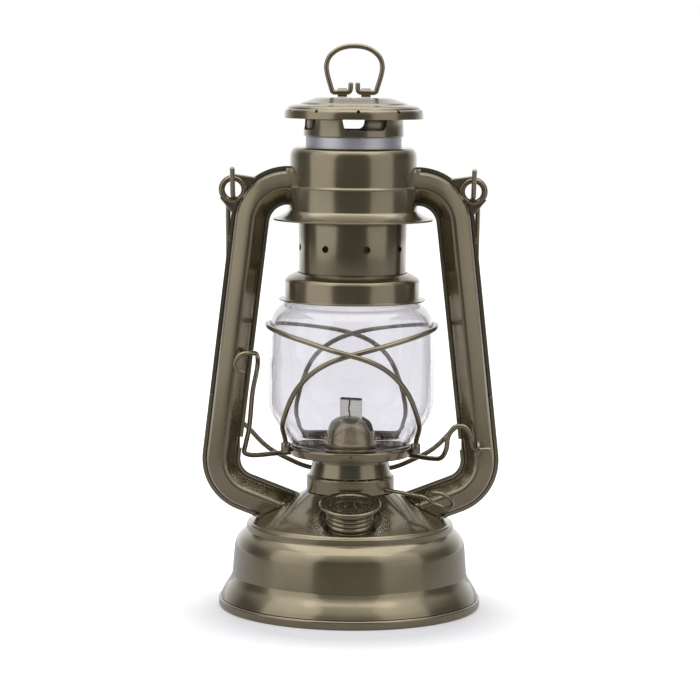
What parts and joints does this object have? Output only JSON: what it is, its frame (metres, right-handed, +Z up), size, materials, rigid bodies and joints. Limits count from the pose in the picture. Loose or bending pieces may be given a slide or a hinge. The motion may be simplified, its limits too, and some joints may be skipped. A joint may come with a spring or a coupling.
{
  "type": "oil lantern",
  "caption": "Small tubular oil lantern with a wide fount, pressed side tubes, a clear globe lifted by a wire lever, a sprung hood and a wire carrying handle.",
  "frame": {"origin": "middle of the foot, on the surface it stands on", "axes": "+Z up through the hood, -Y towards the filler cap, +X towards the wick key and the lever's lug"},
  "size_m": [0.148, 0.1304, 0.2794],
  "materials": {
    "bronze_paint": "satin metallic olive-bronze",
    "bare_steel": "bright bare sheet",
    "burner_brass": "dull",
    "clear_glass": "clear",
    "cotton": "woven",
    "seal_rubber": "matte"
  },
  "bodies": {
    "frame": {"tank_shell": "bronze_paint", "tank_floor": "bronze_paint", "filler_neck": "bronze_paint", "burner_drum": "bronze_paint", "burner_body": "burner_brass", "burner_dome": "bronze_paint", "wick_tube": "burner_brass", "frame_tube_left_front": "bronze_paint", "frame_tube_left_rear": "bronze_paint", "frame_tube_right_front": "bronze_paint", "frame_tube_right_rear": "bronze_paint", "air_drum": "bronze_paint", "lever_lug": "bronze_paint", "bail_hook_left": "bronze_paint", "bail_hook_right": "bronze_paint", "hood_spring": "bare_steel"},
    "bail": {"bail": "bronze_paint"},
    "lever": {"lift_lever": "bronze_paint"},
    "globe_carrier": {"globe_plate": "bronze_paint", "globe": "clear_glass", "guard_wire": "bronze_paint"},
    "hood": {"globe_collar": "bronze_paint", "chimney_tube": "bronze_paint", "spring_seat": "bare_steel", "hood_sleeve": "bare_steel", "hood_ring": "bronze_paint", "hood_crown": "bronze_paint", "ring_clip_left": "bronze_paint", "ring_clip_right": "bronze_paint"},
    "pull_ring": {"hood_ring_pull": "bronze_paint"},
    "wick_drive": {"wick_key": "bronze_paint", "wick_sprocket": "burner_brass"},
    "wick": {"wick": "cotton"},
    "cap_seal": {"filler_gasket": "seal_rubber"},
    "cap": {"filler_cap": "bronze_paint"}
  },
  "joints": [
    {"name": "bail_swing", "type": "hinge", "parent": "frame", "child": "bail", "pos_m": [0, 0.0052, 0.20195], "axis": [1, 0, 0], "range_deg": [0, 180]},
    {"name": "lever_press", "type": "hinge", "parent": "frame", "child": "lever", "pos_m": [0, -0.011, 0.0803], "axis": [1, 0, 0], "range_deg": [0, 24]},
    {"name": "globe_lift", "type": "slide", "parent": "frame", "child": "globe_carrier", "axis": [0, 0, 1], "range_m": [0, 0.01375], "deforming": ["hood_spring"]},
    {"name": "hood_lift", "type": "slide", "parent": "globe_carrier", "child": "hood", "axis": [0, 0, 1], "range_m": [0, 0.008], "stiffness_N_per_m": 250, "springref_m": -0.008, "deforming": ["hood_spring"]},
    {"name": "ring_fold", "type": "hinge", "parent": "hood", "child": "pull_ring", "pos_m": [0, 0, 0.25545], "axis": [1, 0, 0], "range_deg": [-85, 85]},
    {"name": "wick_turn", "type": "hinge", "parent": "frame", "child": "wick_drive", "pos_m": [-0.00202, -0.00501, 0.0622], "axis": [0.9221, -0.3726, -0.1045], "range_deg": [-90, 90]},
    {"name": "wick_raise", "type": "slide", "parent": "frame", "child": "wick", "axis": [0, 0, 1], "range_m": [-0.0065, 0.0065]},
    {"name": "cap_rise", "type": "slide", "parent": "frame", "child": "cap_seal", "axis": [0, -0.2334, 0.9724], "range_m": [0, 0.006]},
    {"name": "cap_turn", "type": "hinge", "parent": "cap_seal", "child": "cap", "pos_m": [0, -0.038, 0.0574], "axis": [0, -0.2334, 0.9724], "range_deg": [0, 720]}
  ],
  "couplings": [
    {"joint": "lever_press", "follows": "globe_lift", "rad_per_m": 30.4},
    {"joint": "wick_turn", "follows": "wick_raise", "rad_per_m": 241.5},
    {"joint": "cap_rise", "follows": "cap_turn", "m_per_rad": 0.000477}
  ]
}
